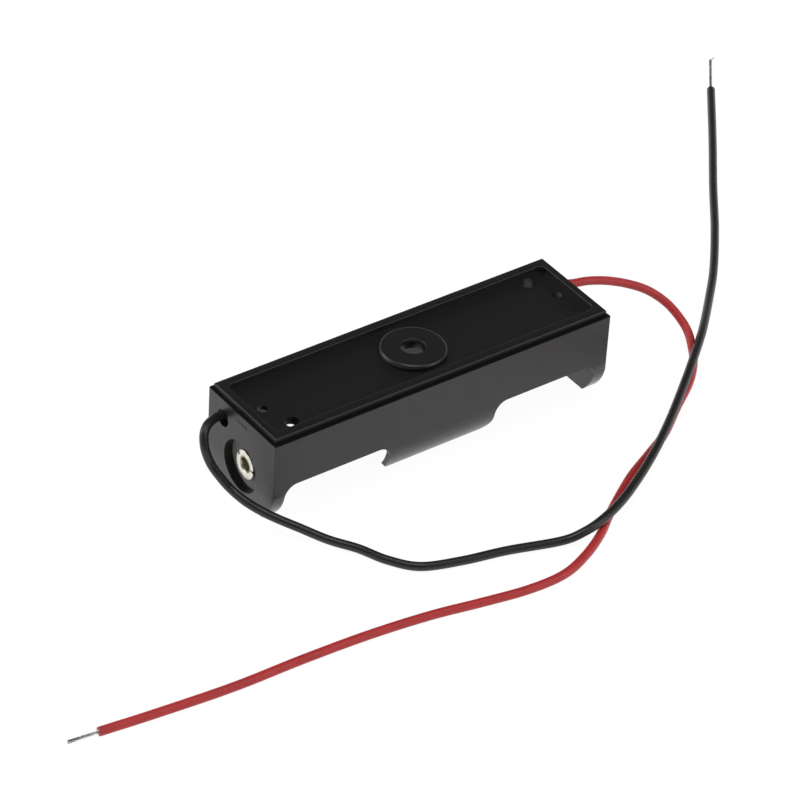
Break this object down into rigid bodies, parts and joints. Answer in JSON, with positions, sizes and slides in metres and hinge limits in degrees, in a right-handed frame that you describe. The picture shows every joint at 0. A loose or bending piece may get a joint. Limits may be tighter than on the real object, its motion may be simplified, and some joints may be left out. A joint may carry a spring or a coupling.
{
  "type": "cylindrical cell holder",
  "caption": "Open moulded holder for one cylindrical cell, with a coil spring contact, riveted terminals and two flying leads.",
  "frame": {"origin": "middle of the open side that the holder stands on, under the centre of the mounting hole", "axes": "+X along the cell towards the positive end, +Z out of the mounting base, -Z out of the open side"},
  "size_m": [0.1737, 0.0916, 0.0145],
  "materials": {
    "housing": "glossy black moulding, fine grain on the rim",
    "eyelet": "tinned brass, satin",
    "plate": "nickel-plated strip",
    "spring": "nickel-plated spring wire",
    "black_insulation": "soft gloss PVC",
    "red_insulation": "soft gloss PVC",
    "conductor": "twisted tinned copper strands",
    "solder": "bright tin solder"
  },
  "bodies": {
    "holder": {"housing": "housing", "negative_eyelet": "eyelet", "positive_eyelet": "eyelet", "negative_plate": "plate", "positive_plate": "plate", "black_lead": "black_insulation", "red_lead": "red_insulation", "black_tip": "conductor", "red_tip": "conductor", "black_inner_end": "conductor", "red_inner_end": "conductor", "black_solder": "solder", "red_solder": "solder"},
    "spring": {"negative_spring": "spring"}
  },
  "joints": [
    {"name": "spring_compression", "type": "slide", "parent": "holder", "child": "spring", "axis": [-1, 0, 0], "range_m": [0, 0.0049], "stiffness_N_per_m": 800, "deforming": ["negative_spring"]}
  ]
}
